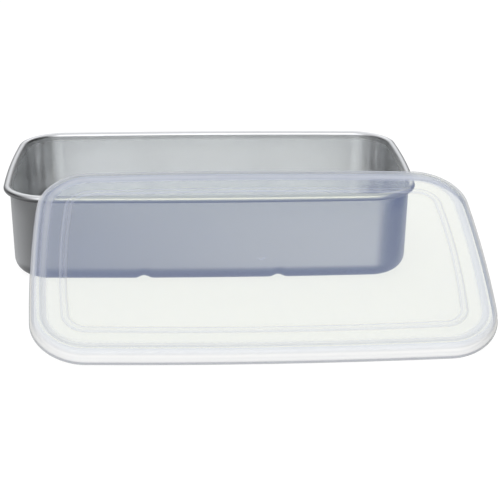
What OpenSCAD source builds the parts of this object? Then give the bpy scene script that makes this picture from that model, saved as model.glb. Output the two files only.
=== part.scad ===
// Loaf pan with a press-on plastic lid, the lid leaning on the pan's front rim.
// The pan stands on z = 0 with its base centred on the origin, its long side along X
// and its front towards -Y. Both pieces are thin shells, each one closed skin of rings
// that follow the same bowed, round-cornered outline.

/* [Pan] */
// Length over the rolled rim
rim_length = 265; // [230:1:320]
// Width over the rolled rim
rim_width = 150; // [130:1:180]
// Height from the table to the top of the rim
pan_height = 59; // [45:0.5:80]
// Thickness of the pan's sheet metal
sheet = 0.7; // [0.5:0.1:1]
// Corner radius of the rim, seen from above
rim_corner = 28; // [24:1:32]
// Corner radius of the walls, seen from above
wall_corner = 22; // [18:1:30]
// How much further in each wall stands at the base than at the rim
wall_lean = 1; // [0:0.1:2]
// Outside radius of the bend between the walls and the base
base_bend = 11; // [6:0.5:12]

/* [Rolled rim] */
// Outside radius of the rolled rim
roll_radius = 2.3; // [2:0.1:3]
// How far the sheet turns round the roll
roll_turn = 300; // [240:30:300]

/* [Base ribs] */
// Distance of each pressed rib from the middle of the base
rib_offset = 44; // [30:1:55]
// Width of a pressed rib at its foot
rib_width = 12; // [8:0.5:16]
// Height of a pressed rib
rib_height = 1.9; // [1:0.1:2.5]

/* [Sides] */
// How far the long sides bow out between the corners
long_bow = 2.6; // [1:0.1:4]
// How far the short sides bow out between the corners
short_bow = 3.2; // [0.5:0.1:4]

/* [Lid] */
// Gap from the rim's outer edge to the lid's outer edge, with the lid on
lid_margin = 2.6; // [2.4:0.1:3.6]
// Thickness of the lid's plastic
lid_wall = 1; // [0.8:0.1:1.2]
// Depth of the skirt below the flat panel
skirt_depth = 7.3; // [6.5:0.1:9]
// How far the bead inside the skirt reaches under the rolled rim, with the lid on
grip = 0.3; // [0.1:0.1:0.5]
// Height of the channel's crest above the flat panel
crest_height = 2; // [1.5:0.1:2.5]
// Height of the stiffening bead that frames the panel
bead_height = 0.7; // [0.4:0.1:1]
// Diameter of the moulding gate's dimple in the middle of the panel
gate_diameter = 5; // [3:0.5:8]

/* [Lid at rest] */
// Tilt of the leaning lid from level
lid_tilt = 23.7; // [20:0.1:28]
// Turn of the leaning lid about the upright axis
lid_yaw = 4.5; // [0:0.1:8]
// Turn of the leaning lid within its own plane
lid_spin = -2.2; // [-5:0.1:0]
// Sideways shift of the leaning lid from the pan's middle
lid_shift = 28.4; // [10:0.1:35]
// Gap left under the lid, above the table and above the rim that it leans on
rest_gap = 0.35; // [0.3:0.05:0.5]

/* [Hidden] */

corner_steps = 10;
bend_steps = 5;
roll_step = 30;

// A rib's section across its width: places as a share of the width, and its rise there.
rib_places = [-0.5, -0.36, -0.18, 0, 0.18, 0.36, 0.5];
rib_rises = [0, 0.3, 0.86, 1, 0.86, 0.3, 0];

// Where the straight runs of every ring have their points.
long_places = concat(
    [-82],
    [for (p = rib_places) p * rib_width - rib_offset],
    [-14, 14],
    [for (p = rib_places) p * rib_width + rib_offset],
    [82]
);
short_places = [-24, -8, 8, 24];

function reversed(list) = [for (i = [len(list) - 1 : -1 : 0]) list[i]];

function quarter(x, y, r, start) = [
    for (i = [0 : corner_steps])
        let (a = start + 90 * i / corner_steps) [x + r * cos(a), y + r * sin(a)]
];

// A rounded rectangle, anticlockwise from the front end of its right-hand front corner.
function rounded(length, width, r) =
    let (x = length / 2, y = width / 2)
    concat(
        quarter(x - r, r - y, r, -90),
        [for (p = short_places) [x, p]],
        quarter(x - r, y - r, r, 0),
        [for (p = reversed(long_places)) [p, y]],
        quarter(r - x, y - r, r, 90),
        [for (p = reversed(short_places)) [-x, p]],
        quarter(r - x, r - y, r, 180),
        [for (p = long_places) [p, -y]]
    );

// The sides bow out in the middle, so their ends draw in towards the corners.
function bowed(p, length, width) =
    let (u = 2 * p.x / length, v = 2 * p.y / width)
    [
        p.x * (1 - 2 * short_bow / length * v * v),
        p.y * (1 - 2 * long_bow / width * u * u)
    ];

// One ring of a length by width outline drawn in by inset, with corners of radius r,
// at height z. The share of a rib's rise that the ring takes is rib.
function ring(length, width, inset, r, z, rib = 0) =
    let (l = length - 2 * inset, w = width - 2 * inset)
    [for (p = rounded(l, w, r))
        let (q = bowed(p, l, w)) [q.x, q.y, z + rib * rib_at(p.x)]];

function rib_at(x) =
    rib_height * lookup((abs(x) - rib_offset) / rib_width,
        [for (i = [0 : len(rib_places) - 1]) [rib_places[i], rib_rises[i]]]);

// Faces of the skin: a band between neighbouring rings, and a cap of strips that run
// from the front to the back.
ring_size = len(rounded(rim_length, rim_width, rim_corner));
right_side = corner_steps + len(short_places) / 2;

function band(a, b) = [
    for (i = [0 : ring_size - 1])
        let (j = (i + 1) % ring_size)
        each [[a + i, b + j, a + j], [a + i, b + i, b + j]]
];

function front_point(k) = (right_side - k + ring_size) % ring_size;
function back_point(k) = (right_side + 1 + k) % ring_size;

function cap(base) = [
    for (k = [0 : ring_size / 2 - 2])
        [front_point(k), back_point(k), back_point(k + 1), front_point(k + 1)]
            + [base, base, base, base]
];

// A closed skin over rings listed from the middle of the underside, outwards and up,
// and back in over the top.
module skin(rings) {
    last = (len(rings) - 1) * ring_size;
    points = [for (one_ring = rings) each one_ring];
    bands = [for (k = [1 : len(rings) - 1]) each band((k - 1) * ring_size, k * ring_size)];
    last_cap = [for (face = cap(last)) reversed(face)];
    polyhedron(points, concat(cap(0), bands, last_cap), convexity = 8);
}

// The pan. Insets are measured from the outer edge of the rolled rim.
roll_top = pan_height - roll_radius;
roll_inside = roll_radius - sheet;
wall_blend = 14;

function wall_inset(z) = 2 * roll_radius - sheet + wall_lean * (1 - z / roll_top);

// The walls' corners tighten to the rim's just below the roll.
function corner_at(z, inset) =
    let (t = max(0, 1 - (roll_top - z) / wall_blend))
    wall_corner + (rim_corner - inset - wall_corner) * t * t;

function pan_ring(inset, r, z, rib = 0) =
    ring(rim_length, rim_width, inset, r, z, rib);

// Rings up the bend: offset is 0 on the outside of the sheet and sheet on the inside.
function bend_rings(offset) = [
    for (k = [0 : bend_steps])
        let (
            a = 90 * (1 - k / bend_steps),
            r = base_bend - offset,
            foot = wall_inset(base_bend),
            inset = foot + base_bend - r * cos(a)
        )
        pan_ring(inset, wall_corner - (inset - foot), base_bend - r * sin(a), sin(a))
];

function wall_rings(offset) = [
    for (z = [0.35 * pan_height, 0.6 * pan_height, roll_top - wall_blend,
              roll_top - 0.6 * wall_blend, roll_top - 0.25 * wall_blend])
        let (inset = wall_inset(z) + offset)
        pan_ring(inset, corner_at(z, inset), z)
];

function roll_rings(radius) = [
    for (a = [0 : roll_step : roll_turn])
        let (inset = roll_radius + radius * cos(a))
        pan_ring(inset, rim_corner - inset, roll_top + radius * sin(a))
];

module pan() {
    outside = concat(bend_rings(0), wall_rings(0), roll_rings(roll_inside));
    inside = concat(bend_rings(sheet), wall_rings(sheet), roll_rings(roll_radius));
    color("silver") skin(concat(outside, reversed(inside)));
}

// The lid. Its panel's top face is z = 0 before it is leaned, and its sections are
// lists of [inset from the lid's outer edge, height].
lid_length = rim_length + 2 * lid_margin;
lid_width = rim_width + 2 * lid_margin;
lid_corner = rim_corner + lid_margin;

gate_depth = 0.3;
gate_slope = 0.3;

// From the panel's underside, round the channel and over the small bead that grips the
// rim, to the skirt's free edge.
lid_under = [
    [21.4, -lid_wall],
    [10, -lid_wall],
    [8.8, -0.85 * lid_wall],
    [7.2, 0.4 * crest_height - 0.95 * lid_wall],
    [6, 0.95 * crest_height - 1.05 * lid_wall],
    [5, crest_height - lid_wall],
    [4, crest_height - 1.2 * lid_wall],
    [3, 0.05 * crest_height],
    [lid_wall + 1.2, -1.2],
    [lid_wall + 0.5, 3.3 - skirt_depth],
    [lid_margin + grip, 2.7 - skirt_depth],
    [lid_margin + grip, 2.3 - skirt_depth],
    [lid_wall + 0.3, 1.5 - skirt_depth],
    [lid_wall, -skirt_depth]
];

// From the free edge, up the skirt, over the crest and the stiffening bead, to the panel.
lid_top = [
    [0, -skirt_depth],
    [0, 0.9 - skirt_depth],
    [0.4, 1.1 - skirt_depth],
    [1.1, -1.2],
    [1.5, 0],
    [2.2, 0.45 * crest_height],
    [3.4, 0.85 * crest_height],
    [4.9, crest_height],
    [6.2, 0.95 * crest_height],
    [7.2, 0.75 * crest_height],
    [8.2, 0.4 * crest_height],
    [9.4, 0.1 * crest_height],
    [10.4, 0],
    [17.2, 0],
    [18, 0.7 * bead_height],
    [19.3, bead_height],
    [20.6, 0.7 * bead_height],
    [21.4, 0]
];

function lid_ring(p) = ring(lid_length, lid_width, p.x, lid_corner - p.x, p.y);

// The lid's ring drawn in to a circle, for the dimple that the moulding gate leaves.
function gate_ring(diameter, z) = [
    for (p = lid_ring([0, 0]))
        let (q = [p.x, p.y] * diameter / 2 / norm([p.x, p.y])) [q.x, q.y, z]
];

// The lid leans on the roll of the front rim, with its lowest corner on the table: the
// left end of its skirt stands on the roll, and its panel touches it further right.
function turned(p) =
    let (
        q = [p.x * cos(lid_spin) - p.y * sin(lid_spin), p.x * sin(lid_spin) + p.y * cos(lid_spin)],
        y = q.y * cos(lid_tilt) - p.z * sin(lid_tilt),
        z = q.y * sin(lid_tilt) + p.z * cos(lid_tilt)
    )
    [q.x * cos(lid_yaw) - y * sin(lid_yaw), q.x * sin(lid_yaw) + y * cos(lid_yaw), z];

lean_up = rest_gap - min([for (p = lid_ring([0, -skirt_depth])) turned(p).z]);

normal = turned([0, 0, 1]);
roll_line = pan_ring(roll_radius, rim_corner - roll_radius, roll_top);
skirt_left = lid_shift - lid_length / 2;
front_line = [for (p = roll_line) if (p.y < -rim_width / 3 && p.x > skirt_left + 12) p];
roll_reach = max([for (p = front_line) (p - [lid_shift, 0, lean_up]) * normal]);
lean_forward = (roll_reach + lid_wall + roll_radius + rest_gap) / normal.y;

module lid() {
    sections = [for (p = concat(lid_under, lid_top)) lid_ring(p)];
    under_gate = gate_ring(gate_diameter, -lid_wall);
    dimple_edge = gate_ring(gate_diameter, 0);
    dimple_floor = gate_ring(gate_diameter - 2 * gate_slope, -gate_depth);
    color([0.93, 0.95, 0.98, 0.6])
        translate([lid_shift, lean_forward, lean_up])
        rotate([0, 0, lid_yaw])
        rotate([lid_tilt, 0, 0])
        rotate([0, 0, lid_spin])
        skin(concat([under_gate], sections, [dimple_edge, dimple_floor]));
}

pan();
lid();
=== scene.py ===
import math

import bpy
import numpy as np
from mathutils import Matrix, Vector


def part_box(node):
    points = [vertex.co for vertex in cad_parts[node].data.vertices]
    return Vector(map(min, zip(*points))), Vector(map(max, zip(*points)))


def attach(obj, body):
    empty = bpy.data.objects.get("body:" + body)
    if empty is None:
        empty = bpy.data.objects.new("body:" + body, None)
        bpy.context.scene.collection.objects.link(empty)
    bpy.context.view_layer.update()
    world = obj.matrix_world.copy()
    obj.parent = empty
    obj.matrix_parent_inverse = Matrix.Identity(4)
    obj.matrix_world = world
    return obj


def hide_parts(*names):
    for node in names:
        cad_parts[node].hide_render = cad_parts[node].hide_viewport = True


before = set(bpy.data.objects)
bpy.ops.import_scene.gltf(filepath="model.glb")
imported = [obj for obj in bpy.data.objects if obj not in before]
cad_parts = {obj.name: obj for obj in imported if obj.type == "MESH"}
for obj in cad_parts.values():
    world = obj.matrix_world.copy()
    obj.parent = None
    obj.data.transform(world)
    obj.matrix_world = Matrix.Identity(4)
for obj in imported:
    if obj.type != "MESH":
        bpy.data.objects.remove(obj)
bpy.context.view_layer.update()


# ---- Camera ----
# A long lens on a tripod in front of the pan, a little left of its middle and looking
# down at it, so that both the far wall and the leaning lid are seen.
mm = 0.001
pan_low, pan_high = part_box("pan")
camera_place = Vector((-13.7 * mm, pan_low.y - 806.4 * mm, 329.9 * mm))
camera_down = math.radians(20.776)
camera_right = math.radians(2.69)
camera_roll = math.radians(0.41)
camera_lens = 99.05

camera_data = bpy.data.cameras.new("camera")
camera_data.sensor_width = 36
camera_data.lens = camera_lens
camera_data.clip_start = 0.05
camera_data.clip_end = 60
camera = bpy.data.objects.new("camera", camera_data)
bpy.context.collection.objects.link(camera)
camera.matrix_world = (
    Matrix.Translation(camera_place)
    @ Matrix.Rotation(-camera_right, 4, "Z")
    @ Matrix.Rotation(math.pi / 2 - camera_down, 4, "X")
    @ Matrix.Rotation(camera_roll, 4, "Z")
)
bpy.context.scene.camera = camera


# ---- Studio ----
# A pale table top before a plain white backdrop. The light is soft and brightest high in
# front; the low back is dark, grey felt hangs at both ends and a white card lies low in
# front, so that the satin metal has both light and dark to mirror.
bpy.context.scene.view_settings.view_transform = "Standard"


class Socket:
    """One output of a shader node. Arithmetic on it adds Math nodes."""

    def __init__(self, nodes, output):
        self.nodes = nodes
        self.output = output

    def math(self, operation, first, second):
        return self.nodes.add(
            "ShaderNodeMath", {"operation": operation}, {0: first, 1: second}
        )

    def __add__(self, other):
        return self.math("ADD", self, other)

    def __radd__(self, other):
        return self.math("ADD", other, self)

    def __rsub__(self, other):
        return self.math("SUBTRACT", other, self)

    def __mul__(self, other):
        return self.math("MULTIPLY", self, other)

    def __rmul__(self, other):
        return self.math("MULTIPLY", other, self)

    def __pow__(self, other):
        return self.math("POWER", self, other)


class Nodes:
    """The node tree of one material or of the world."""

    def __init__(self, owner):
        owner.use_nodes = True
        self.tree = owner.node_tree
        self.tree.nodes.clear()

    def add(self, kind, settings, sockets, output=0):
        node = self.tree.nodes.new(kind)
        for name, value in settings.items():
            if name == "stops":
                fill_ramp(node.color_ramp, value)
            else:
                setattr(node, name, value)
        for name, value in sockets.items():
            if isinstance(value, Socket):
                self.tree.links.new(value.output, node.inputs[name])
            else:
                node.inputs[name].default_value = value
        return Socket(self, node.outputs[output]) if node.outputs else None

    def blend(self, share, first, second):
        return self.add(
            "ShaderNodeMix", {"data_type": "RGBA"}, {0: share, 6: first, 7: second}, 2
        )


def fill_ramp(ramp, stops):
    while len(ramp.elements) < len(stops):
        ramp.elements.new(1)
    for element, (place, grey) in zip(ramp.elements, stops):
        element.position = place
        element.color = (grey, grey, grey, 1)


tent_tint = (0.97, 0.98, 1, 1)
tent_strength = 4.1
backdrop_strength = 1.1
felt_depth = 2.5
card_direction = Vector((0.2, -0.91, -0.36))
card_strength = 0.46
card_sharpness = 16


def light_tent(world):
    nodes = Nodes(world)
    direction = nodes.add("ShaderNodeTexCoord", {}, {}, "Generated")
    split = nodes.add("ShaderNodeSeparateXYZ", {}, {0: direction}, "X").output.node
    side, depth, height = (Socket(nodes, o) for o in split.outputs)
    rise = height * 0.5 + 0.5

    def shade(stops):
        return nodes.add("ShaderNodeValToRGB", {"stops": stops}, {0: rise})

    ahead = shade([(0, 0.02), (0.2, 0.02), (0.3, 0.03), (0.44, 0.04), (0.54, 0.42),
                   (0.65, 0.72), (0.8, 0.72), (0.92, 0.4), (1, 0.14)])
    behind = shade([(0, 0.02), (0.2, 0.08), (0.3, 0.15), (0.45, 0.05), (0.56, 0.08),
                    (0.67, 0.26), (0.8, 0.45), (0.92, 0.3), (1, 0.14)])
    felt_left = shade([(0.3, 0), (0.44, 0.08), (0.54, 0.48), (1, 0.4)])
    felt_right = shade([(0.3, 0.3), (0.44, 0.65), (0.54, 1), (1, 0.8)])
    level = nodes.blend(depth * 0.5 + 0.5, ahead, behind)
    cover = nodes.blend(side * 0.5 + 0.5, felt_left, felt_right)
    felt = nodes.add("ShaderNodeMath", {"operation": "SUBTRACT", "use_clamp": True},
                     {0: 1.0, 1: side * side * cover * felt_depth})
    toward_card = nodes.add("ShaderNodeVectorMath", {"operation": "DOT_PRODUCT"},
                            {0: direction, 1: card_direction}, "Value")
    card = nodes.add("ShaderNodeMath", {"operation": "MAXIMUM"}, {0: toward_card, 1: 0.0})
    tent = level * felt * tent_strength + card_strength * card ** card_sharpness
    seen = nodes.add("ShaderNodeLightPath", {}, {}, "Is Camera Ray")
    strength = tent + seen * (backdrop_strength - tent)
    background = nodes.add(
        "ShaderNodeBackground", {}, {"Color": tent_tint, "Strength": strength}
    )
    nodes.add("ShaderNodeOutputWorld", {}, {"Surface": background})


world = bpy.data.worlds.new("light_tent")
bpy.context.scene.world = world
light_tent(world)


def softbox(name, place, aim, width, depth, power):
    data = bpy.data.lights.new(name, "AREA")
    data.shape = "RECTANGLE"
    data.size = width
    data.size_y = depth
    data.energy = power
    lamp = bpy.data.objects.new(name, data)
    bpy.context.collection.objects.link(lamp)
    lamp.location = place
    lamp.rotation_euler = (Vector(aim) - Vector(place)).to_track_quat("-Z", "Y").to_euler()


softbox("top_softbox", place=(0, 0.15, 1.3), aim=(0, 0, 0), width=1.2, depth=0.8, power=1.5)

table_reach = 15
table_gap = 0.05 * mm
paper_tone = (0.8, 0.8, 0.8, 1)
paper_glow = 1.13
glow_share = 0.8
table_mesh = bpy.data.meshes.new("table_top")
corners = [(-1, -1), (1, -1), (1, 1), (-1, 1)]
table_corners = [(x * table_reach, y * table_reach, 0) for x, y in corners]
table_mesh.from_pydata(table_corners, [], [(0, 1, 2, 3)])
table_top = bpy.data.objects.new("table_top", table_mesh)
bpy.context.collection.objects.link(table_top)
table_top.location.z = pan_low.z - table_gap
table_top.visible_glossy = False


def table_paper():
    material = bpy.data.materials.new("white_paper")
    nodes = Nodes(material)
    paper = nodes.add("ShaderNodeBsdfDiffuse", {}, {"Color": paper_tone})
    glow = nodes.add("ShaderNodeEmission", {}, {"Color": (1, 1, 1, 1), "Strength": paper_glow})
    lit = nodes.add("ShaderNodeMixShader", {}, {0: glow_share, 1: paper, 2: glow})
    nodes.add("ShaderNodeOutputMaterial", {}, {"Surface": lit})
    return material


table_mesh.materials.append(table_paper())


# ---- Pan ----
# One stainless sheet, deep-drawn into a shallow round-cornered box. Its edge is rolled
# outwards into a hollow bead, and two ribs are pressed up across the base to keep it flat.
rim_length = pan_high.x - pan_low.x
rim_width = pan_high.y - pan_low.y
pan_height = pan_high.z - pan_low.z
sheet = 0.7 * mm
rim_corner = 28 * mm
wall_corner = 22 * mm
wall_lean = 1 * mm
base_bend = 11 * mm
roll_radius = 2.3 * mm
roll_turn = math.radians(300)
rib_offset = 44 * mm
rib_width = 12 * mm
rib_height = 1.9 * mm
long_bow = 2.6 * mm
short_bow = 3.2 * mm
dull_and_shade_fade = 0.8 * mm
corner_blend = 14 * mm
long_reach = 88 * mm
short_reach = 34 * mm
sharp_edge = math.radians(55)

corner_steps = 20
rib_steps = 12
plain_steps = 8
end_steps = 4
short_steps = 13
base_steps = 12
low_wall_steps = 6
high_wall_steps = 8
roll_steps = 30


def rib_rise(x):
    """Height of a pressed rib at a place along the base: a smooth bell."""
    across = np.clip(np.abs(np.abs(x) - rib_offset) / (rib_width / 2), 0, 1)
    return rib_height * (1 + np.cos(math.pi * across)) / 2


def run_places():
    """Where the straight runs of every ring have their points, from left to right."""
    rib = np.linspace(-0.5, 0.5, rib_steps + 1) * rib_width
    plain = np.linspace(-rib_offset + rib_width, rib_offset - rib_width, plain_steps + 1)
    ends = np.linspace(rib_offset + rib_width, long_reach, end_steps + 1)
    long_run = np.concatenate([-ends[::-1], rib - rib_offset, plain, rib + rib_offset, ends])
    short_run = np.linspace(-short_reach, short_reach, short_steps + 1)
    return long_run, short_run


def rounded(length, width, radius):
    """A rounded rectangle, anticlockwise from its front right corner, and its normals."""
    x, y = length / 2 - radius, width / 2 - radius
    turn = np.linspace(0, math.pi / 2, corner_steps + 1)
    long_run, short_run = run_places()
    places, normals = [], []
    for k, (cx, cy) in enumerate([(x, -y), (x, y), (-x, y), (-x, -y)]):
        angle = turn + (k - 1) * math.pi / 2
        out = np.c_[np.cos(angle), np.sin(angle)]
        places.append(np.array([cx, cy]) + radius * out)
        normals.append(out)
        run = short_run if k % 2 == 0 else long_run
        run = run if k in (0, 3) else run[::-1]
        out = np.array([[1, 0], [0, 1], [-1, 0], [0, -1]][k])
        far = out * (np.array([length, width]) / 2)
        along = np.abs(out[::-1]) * run[:, None]
        places.append(along + far)
        normals.append(np.tile(out, (len(run), 1)))
    return np.vstack(places), np.vstack(normals)


def bowed(places, length, width):
    """The sides bow out in the middle, so their ends draw in towards the corners."""
    u = 2 * places[:, 0] / length
    v = 2 * places[:, 1] / width
    x = places[:, 0] * (1 - 2 * short_bow / length * v * v)
    y = places[:, 1] * (1 - 2 * long_bow / width * u * u)
    return np.c_[x, y]


def outline_ring(length, width, inset, radius, height, rib=0.0):
    l, w = length - 2 * inset, width - 2 * inset
    places, _ = rounded(l, w, radius)
    flat = bowed(places, l, w)
    return np.c_[flat, height + rib * rib_rise(places[:, 0])]


def skinned(name, rings, blank):
    """A closed mesh over rings listed from the underside, outwards and up, and in over the top.
    blank holds each point's place before forming: on the pan's flat sheet, or on the lid
    before it leans."""
    count, size = len(rings), len(rings[0])
    points = np.vstack(rings)
    faces = []
    for k in range(count - 1):
        a, b = k * size, (k + 1) * size
        for i in range(size):
            j = (i + 1) % size
            faces.append((a + i, a + j, b + j, b + i))
    middle = corner_steps + 1 + len(run_places()[1]) // 2
    pairs = [((middle - 1 - k) % size, (middle + k) % size) for k in range(size // 2)]
    for base, up in ((0, False), ((count - 1) * size, True)):
        for (a, d), (b, c) in zip(pairs, pairs[1:]):
            face = (base + a, base + d, base + c, base + b)
            faces.append(face if up else face[::-1])
    mesh = bpy.data.meshes.new(name)
    mesh.from_pydata(points.tolist(), [], faces)
    mesh.validate()
    flat = mesh.attributes.new("blank", "FLOAT_VECTOR", "POINT")
    flat.data.foreach_set("vector", np.vstack(blank).astype(np.float32).ravel())
    mesh.shade_smooth()
    mesh.set_sharp_from_angle(angle=sharp_edge)
    piece = bpy.data.objects.new(name, mesh)
    bpy.context.collection.objects.link(piece)
    return piece


def wall_inset(z):
    return 2 * roll_radius - sheet + wall_lean * (1 - z / (pan_height - roll_radius))


def pan_profile(offset):
    """One face of the sheet from the base's edge up to the roll, as rows of inset, height,
    corner radius and share of the ribs' rise. offset is the depth into the sheet."""
    foot = wall_inset(base_bend)
    rows = []
    for angle in np.linspace(math.pi / 2, 0, base_steps + 1):
        r = base_bend - offset
        inset = foot + base_bend - r * math.cos(angle)
        height = base_bend - r * math.sin(angle)
        rows.append((inset, height, wall_corner - (inset - foot), math.sin(angle)))
    top = pan_height - roll_radius
    low_wall = np.linspace(base_bend, top - corner_blend, low_wall_steps + 1)[1:]
    high_wall = np.linspace(top - corner_blend, top, high_wall_steps + 1)[1:-1]
    for z in np.concatenate([low_wall, high_wall]):
        inset = wall_inset(z) + offset
        tighten = max(0, 1 - (top - z) / corner_blend) ** 2
        rows.append((inset, z, wall_corner + (rim_corner - inset - wall_corner) * tighten, 0))
    radius = roll_radius - sheet + offset
    for angle in np.linspace(0, roll_turn, roll_steps + 1):
        inset = roll_radius + radius * math.cos(angle)
        rows.append((inset, top + radius * math.sin(angle), rim_corner - inset, 0))
    return rows


def build_pan():
    profile = pan_profile(0) + pan_profile(sheet)[::-1]
    rings = [outline_ring(rim_length, rim_width, i, r, z, rib) for i, z, r, rib in profile]
    rows = np.array([(i, z) for i, z, _, _ in profile])
    half = len(rows) // 2
    steps = np.hypot(*np.diff(rows[:half], axis=0).T)
    drawn = np.concatenate([[0], np.cumsum(steps)])
    drawn = np.concatenate([drawn, drawn[::-1]])
    base, out = rounded(rim_length - 2 * rows[0, 0], rim_width - 2 * rows[0, 0],
                        wall_corner - base_bend)
    blank = [np.c_[base + out * d, np.full(len(base), z)] for d, z in zip(drawn, rows[:, 1])]
    return skinned("pan_shell", rings, blank)


wall_tones = (0.77, 0.78, 0.785, 1), (0.82, 0.83, 0.835, 1)
# The rolled edge's darker colour is painted shade.
roll_shade_tone = (0.58, 0.585, 0.59, 1)
satin_roughness = 0.18
smear_roughness = 0.07
grain_roughness = 0.04
roll_roughness = 0.1


def drawn_steel():
    material = bpy.data.materials.new("drawn_steel")
    nodes = Nodes(material)
    blank = nodes.add("ShaderNodeAttribute", {"attribute_name": "blank"}, {}, "Vector")
    place = nodes.add("ShaderNodeTexCoord", {}, {}, "Object")

    def noise(vector, stretch, scale, detail):
        mapped = nodes.add("ShaderNodeMapping", {}, {"Vector": vector, "Scale": stretch})
        return nodes.add("ShaderNodeTexNoise", {},
                         {"Vector": mapped, "Scale": scale, "Detail": detail, "Roughness": 0.6})

    grain = noise(blank, stretch=(0.05, 1, 1), scale=2600, detail=3)
    cloud = noise(place, stretch=(1, 1, 1), scale=18, detail=2)
    smear = noise(blank, stretch=(0.3, 1, 1), scale=60, detail=4)
    height = nodes.add("ShaderNodeSeparateXYZ", {}, {0: place}, "Z")
    roll_foot = pan_height - 2 * roll_radius
    # Over the rolled edge the steel is rougher, and its darker colour there is painted shade.
    dull_and_shade = nodes.add("ShaderNodeMapRange", {}, {
        "Value": height, "From Min": roll_foot - dull_and_shade_fade, "From Max": roll_foot + dull_and_shade_fade})
    marks = satin_roughness + smear_roughness * smear + grain_roughness * grain
    roughness = marks + roll_roughness * dull_and_shade
    walls = nodes.blend(cloud * 0.6 + smear * 0.4, *wall_tones)
    tone_and_shade = nodes.blend(dull_and_shade, walls, roll_shade_tone)
    wave = nodes.add("ShaderNodeBump", {}, {"Strength": 0.08, "Distance": 0.0008, "Height": cloud},
                     "Normal")
    scratch = nodes.add("ShaderNodeBump", {},
                        {"Strength": 0.06, "Distance": 0.00004, "Height": grain, "Normal": wave},
                        "Normal")
    steel = nodes.add("ShaderNodeBsdfPrincipled", {}, {
        "Base Color": tone_and_shade, "Metallic": 1.0, "Roughness": roughness, "Normal": scratch})
    nodes.add("ShaderNodeOutputMaterial", {}, {"Surface": steel})
    return material


pan_shell = build_pan()
pan_shell.data.materials.append(drawn_steel())
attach(pan_shell, "pan_body")
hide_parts("pan")


# ---- Lid ----
# One thin shell, injection-moulded in milky polyethylene. A channel round its edge presses
# over the pan's rolled rim, a low bead frames its flat panel, and the gate left a mark.
lid_low, lid_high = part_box("lid")
lid_margin = 2.6 * mm
lid_length = rim_length + 2 * lid_margin
lid_width = rim_width + 2 * lid_margin
lid_corner = rim_corner + lid_margin
lid_wall = 1 * mm
gate_radius = 2.5 * mm
# Shares of the painted highlight over the gate dimple's rings.
gate_highlight_shares = (0, 0.5, 0.9, 0.5, 0)
skirt_width = 5 * mm
edge_fade = 2 * mm
crease_reach = 0.7 * mm
full_turn = 1.2
curve_steps = 3
lid_tilt = math.radians(23.7)
lid_yaw = math.radians(4.5)
lid_spin = math.radians(-2.2)


def smooth_section(knots, per_span):
    """Points along a smooth curve through the knots of a section."""
    knots = np.array(knots, float)
    padded = np.vstack([2 * knots[0] - knots[1], knots, 2 * knots[-1] - knots[-2]])
    points = []
    for k in range(len(knots) - 1):
        p0, p1, p2, p3 = padded[k:k + 4]
        for t in np.linspace(0, 1, per_span, endpoint=False):
            points.append(0.5 * (2 * p1 + (p2 - p0) * t + (2 * p0 - 5 * p1 + 4 * p2 - p3) * t ** 2
                                 + (3 * p1 - p0 - 3 * p2 + p3) * t ** 3))
    points.append(knots[-1])
    return points


# Sections of the moulded edge, as inset from the lid's outer edge and height above the
# panel, in millimetres.
def lid_section():
    under_channel = smooth_section([
        (10.4, -1), (9.6, -1), (8.6, -0.75), (7.4, -0.1), (6.4, 0.75), (5.2, 1), (4, 0.8),
        (3, 0.1), (2.2, -1.2), (1.55, -4)], curve_steps)
    grip_bead = smooth_section([
        (1.55, -4), (2.5, -4.45), (2.85, -4.8), (2.3, -5.2), (1.3, -5.8)], curve_steps)
    free_edge = [(1.1, -7.1), (0.95, -7.28), (0.75, -7.3), (0.2, -7.3), (0.04, -7.24), (0, -7.1)]
    lip = [(0, -6.5), (0.06, -6.3), (0.3, -6.2), (0.42, -6.1)]
    skirt = [(0.5, -5.2), (0.7, -3.6)]
    shoulder = smooth_section([
        (1.05, -1.3), (1.4, 0), (2.2, 0.95), (3.4, 1.7), (4.9, 2), (6.2, 1.9), (7.2, 1.5),
        (8.2, 0.85), (9.3, 0.22), (10.4, 0), (11.6, 0)], curve_steps)
    panel_bead = smooth_section([
        (16.4, 0), (17.2, 0.05), (18, 0.45), (19.3, 0.7), (20.6, 0.45), (21.4, 0.05),
        (22.2, 0)], curve_steps)
    under_panel = [(26, -1), (14, -1)]
    rows = under_panel + under_channel + grip_bead[1:] + free_edge + lip + skirt + shoulder
    return np.array(rows + panel_bead + [(26, 0)]) * mm


def lid_ring(inset, height):
    return outline_ring(lid_length, lid_width, inset, lid_corner - inset, height)


def gate_ring(radius, height):
    flat = lid_ring(0, 0)
    reach = np.hypot(flat[:, 0], flat[:, 1])
    return np.c_[flat[:, :2] * (radius / reach)[:, None], np.full(len(flat), height)]


def edge_marks(section):
    """How steep the section is at each row, how much it belongs to the thick outer skirt,
    and how sharply it turns. Steep and thick places look frosted; steep slopes get a painted
    grey shade and sharp turns get painted dark shade lines."""
    step = np.diff(section, axis=0)
    length = np.hypot(*step.T)
    heading = np.unwrap(np.arctan2(step[:, 1], step[:, 0]))
    turn = np.abs(np.diff(heading, prepend=heading[0], append=heading[-1]))
    along = np.concatenate([[0], np.cumsum(length)])
    near = np.exp(-((along[:, None] - along) / crease_reach) ** 2)
    crease = np.clip(near @ turn / full_turn, 0, 1)
    slope = np.abs(step[:, 1]) / length
    steep = np.concatenate([slope[:1], (slope[1:] + slope[:-1]) / 2, slope[-1:]])
    thick = np.clip((skirt_width - section[:, 0]) / edge_fade, 0, 1)
    return np.c_[steep, thick, crease]


def lean():
    return (Matrix.Rotation(lid_yaw, 3, "Z") @ Matrix.Rotation(lid_tilt, 3, "X")
            @ Matrix.Rotation(lid_spin, 3, "Z"))


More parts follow.
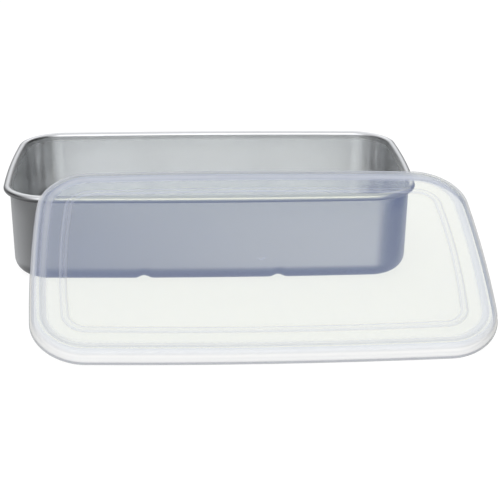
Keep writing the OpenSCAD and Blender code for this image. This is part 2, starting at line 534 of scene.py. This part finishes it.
def build_lid():
    dimple = [(gate_radius + 0.5 * mm, 0), (gate_radius, 0), (gate_radius - 0.15 * mm, -0.05 * mm),
              (gate_radius - 0.4 * mm, -0.28 * mm), (gate_radius - 0.6 * mm, -0.3 * mm)]
    rings = [gate_ring(gate_radius, -lid_wall)]
    rings += [lid_ring(inset, height) for inset, height in lid_section()]
    rings += [gate_ring(radius, height) for radius, height in dimple]
    local = [ring.copy() for ring in rings]
    turn = np.array(lean())
    turned = [ring @ turn.T for ring in rings]
    piece = skinned("lid_shell", turned, local)
    marks = edge_marks(lid_section())
    # The front half of the gate dimple gets a painted highlight: more haze and the white skirt
    # tone.
    front = np.clip(-rings[-1][:, 1] / gate_radius, 0, 1)
    gate_highlight_marks = [np.c_[share * front, share * front, 0 * front] for share in gate_highlight_shares]
    around = [np.tile(mark, (len(front), 1)) for mark in [np.zeros(3), *marks]] + gate_highlight_marks
    edge = piece.data.attributes.new("edge", "FLOAT_VECTOR", "POINT")
    edge.data.foreach_set("vector", np.vstack(around).astype(np.float32).ravel())
    low = np.vstack(turned).min(0)
    high = np.vstack(turned).max(0)
    shift = (Vector(lid_low) + Vector(lid_high)) / 2 - Vector((low + high) / 2)
    piece.data.transform(Matrix.Translation(shift))
    return piece


panel_tone = (0.47, 0.58, 1.0, 1)
# The grey tone is painted shade on steep slopes; the white tone is the thick skirt's own colour.
slope_shade_and_skirt_tones = (0.76, 0.78, 0.86, 1), (0.95, 0.95, 0.98, 1)
# Painted dark shade for the lines along sharp turns.
crease_shade_tone = (0.25, 0.27, 0.34, 1)
clear_tint = (1, 0.99, 0.89, 1)
panel_haze = 0.145
cloud_haze = 0.02
slope_haze = 0.46
skirt_haze = 0.03
crease_haze = 0.1


def milky_plastic():
    material = bpy.data.materials.new("milky_plastic")
    nodes = Nodes(material)
    local = nodes.add("ShaderNodeAttribute", {"attribute_name": "blank"}, {}, "Vector")
    edge = nodes.add("ShaderNodeAttribute", {"attribute_name": "edge"}, {}, "Vector")
    split = nodes.add("ShaderNodeSeparateXYZ", {}, {0: edge}, "X").output.node
    steep, thick, crease = (Socket(nodes, o) for o in split.outputs)
    cloud = nodes.add("ShaderNodeTexNoise", {}, {"Vector": local, "Scale": 25.0, "Detail": 3.0})
    ripple = nodes.add("ShaderNodeTexNoise", {}, {"Vector": local, "Scale": 250.0, "Detail": 1.0})
    slopes = panel_haze + cloud_haze * cloud + slope_haze * steep ** 0.8
    haze = slopes + skirt_haze * thick + crease_haze * crease
    # Steep slopes get a painted grey shade, and the thick skirt stays white.
    slope_shade_and_skirt_tone = nodes.blend(thick, *slope_shade_and_skirt_tones)
    tone_and_shade = nodes.blend(steep ** 0.5, panel_tone, slope_shade_and_skirt_tone)
    # Sharp turns get painted dark shade lines.
    shaded = nodes.blend(0.8 * crease, tone_and_shade, crease_shade_tone)
    skin = nodes.add("ShaderNodeBump", {}, {"Strength": 0.04, "Distance": 0.0001, "Height": ripple},
                     "Normal")
    clear = nodes.add("ShaderNodeBsdfTransparent", {}, {"Color": clear_tint})
    milk = nodes.add("ShaderNodeBsdfPrincipled", {}, {
        "Base Color": shaded, "Roughness": 0.3, "IOR": 1.5, "Normal": skin})
    mixed = nodes.add("ShaderNodeMixShader", {}, {0: haze, 1: clear, 2: milk})
    nodes.add("ShaderNodeOutputMaterial", {}, {"Surface": mixed})
    return material


lid_shell = build_lid()
lid_shell.data.materials.append(milky_plastic())
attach(lid_shell, "lid_body")
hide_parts("lid")
